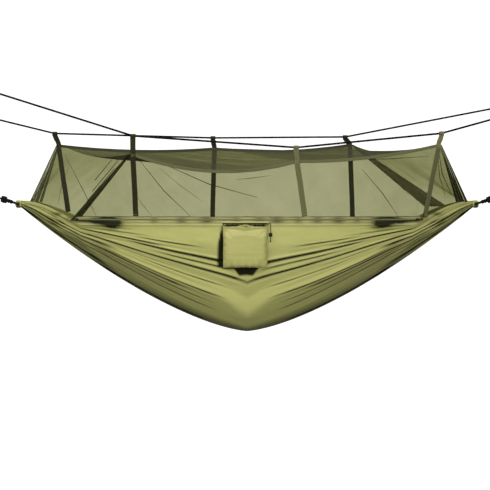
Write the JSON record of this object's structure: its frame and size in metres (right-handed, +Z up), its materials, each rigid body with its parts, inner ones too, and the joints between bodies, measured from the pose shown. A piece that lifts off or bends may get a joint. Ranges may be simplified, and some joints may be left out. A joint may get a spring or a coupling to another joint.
{
  "type": "camping hammock with insect net",
  "caption": "Gathered-end fabric hammock with a zipped insect-net canopy on two ridge cords, a hanging pocket and a carabiner at each end.",
  "frame": {"origin": "under the middle of the hammock, at the level of the lowest point of its fabric, centred between its two ends and its two ridge cords", "axes": "+X along the hammock towards its right-hand end, -Y towards the near side with the zip and the pocket, +Z up"},
  "size_m": [2.976, 0.92, 1.2549],
  "materials": {
    "hammock_cloth": "satin plain-weave nylon",
    "insect_net": "see-through knitted mesh",
    "webbing": "woven tape, matte",
    "binding_tape": "grosgrain tape, matte",
    "black_cord": "braided cord",
    "drawcord": "braided cord",
    "zip_coil": "nylon coil",
    "zip_metal": "dark enamel",
    "lock_plastic": "moulded plastic",
    "spring_steel": "drawn wire",
    "carabiner_metal": "black anodised"
  },
  "bodies": {
    "hammock": {"body_fabric": "hammock_cloth", "far_edge_hem": "hammock_cloth", "far_net_panel": "insect_net", "far_ridge_cord": "black_cord", "far_strap_left": "webbing", "far_strap_middle": "webbing", "far_strap_right": "webbing", "far_top_tape": "binding_tape", "left_end_channel": "hammock_cloth", "left_end_cord": "black_cord", "left_net_panel": "insect_net", "near_edge_hem": "hammock_cloth", "near_net_panel": "insect_net", "near_ridge_cord": "black_cord", "near_strap_left": "webbing", "near_strap_middle": "webbing", "near_strap_right": "webbing", "near_top_tape": "binding_tape", "pocket_hanging_tape": "binding_tape", "right_end_channel": "hammock_cloth", "right_end_cord": "black_cord", "right_net_panel": "insect_net", "top_net_panel": "insect_net", "zip_lower_coil": "zip_coil", "zip_lower_tape": "binding_tape", "zip_stop_left": "zip_metal", "zip_stop_right": "zip_metal", "zip_upper_coil": "zip_coil", "zip_upper_tape": "binding_tape"},
    "left_carabiner": {"left_carabiner_frame": "carabiner_metal", "left_gate_pin": "spring_steel"},
    "right_carabiner": {"right_carabiner_frame": "carabiner_metal", "right_gate_pin": "spring_steel"},
    "left_gate": {"left_carabiner_gate": "carabiner_metal", "left_gate_spring": "spring_steel"},
    "right_gate": {"right_carabiner_gate": "carabiner_metal", "right_gate_spring": "spring_steel"},
    "left_zip_slider": {"zip_slider_left": "zip_metal"},
    "right_zip_slider": {"zip_slider_right": "zip_metal"},
    "left_zip_pull": {"zip_pull_left": "zip_metal"},
    "right_zip_pull": {"zip_pull_right": "zip_metal"},
    "pocket": {"pocket_bag": "hammock_cloth", "pocket_drawcord": "drawcord"},
    "cord_lock": {"cord_lock_barrel": "lock_plastic", "cord_lock_spring": "spring_steel"},
    "cord_lock_button": {"cord_lock_button": "lock_plastic"}
  },
  "joints": [
    {"name": "left_carabiner_swing", "type": "hinge", "parent": "hammock", "child": "left_carabiner", "pos_m": [-1.2658, 0, 0.67052], "axis": [0, -1, 0], "range_deg": [-30, 60]},
    {"name": "left_gate_opening", "type": "hinge", "parent": "left_carabiner", "child": "left_gate", "pos_m": [-1.27421, 0, 0.69087], "axis": [0, -1, 0], "range_deg": [0, 25], "stiffness_Nm_per_rad": 0.15},
    {"name": "left_zip_travel", "type": "hinge", "parent": "hammock", "child": "left_zip_slider", "pos_m": [0, 1.33804, 0.555], "axis": [0, 0, 1], "range_deg": [0, 26.23]},
    {"name": "left_zip_pull_flip", "type": "hinge", "parent": "left_zip_slider", "child": "left_zip_pull", "pos_m": [-0.81856, -0.23282, 0.555], "axis": [0, 0, 1], "range_deg": [0, 170]},
    {"name": "right_carabiner_swing", "type": "hinge", "parent": "hammock", "child": "right_carabiner", "pos_m": [1.2658, 0, 0.67052], "axis": [0, 1, 0], "range_deg": [-30, 60]},
    {"name": "right_gate_opening", "type": "hinge", "parent": "right_carabiner", "child": "right_gate", "pos_m": [1.27421, 0, 0.69087], "axis": [0, 1, 0], "range_deg": [0, 25], "stiffness_Nm_per_rad": 0.15},
    {"name": "right_zip_travel", "type": "hinge", "parent": "hammock", "child": "right_zip_slider", "pos_m": [0, 1.33804, 0.555], "axis": [0, 0, -1], "range_deg": [0, 26.23]},
    {"name": "right_zip_pull_flip", "type": "hinge", "parent": "right_zip_slider", "child": "right_zip_pull", "pos_m": [0.81856, -0.23282, 0.555], "axis": [0, 0, -1], "range_deg": [0, 170]},
    {"name": "pocket_swing", "type": "hinge", "parent": "hammock", "child": "pocket", "pos_m": [-0.009, -0.433, 0.538], "axis": [-1, 0, 0], "range_deg": [0, 60]},
    {"name": "cord_lock_slide", "type": "slide", "parent": "pocket", "child": "cord_lock", "axis": [0, -0.2588, 0.9659], "range_m": [-0.018, 0.04]},
    {"name": "cord_lock_press", "type": "slide", "parent": "cord_lock", "child": "cord_lock_button", "axis": [0, 0.9659, 0.2588], "range_m": [0, 0.004], "stiffness_N_per_m": 700, "deforming": ["cord_lock_spring"]}
  ]
}
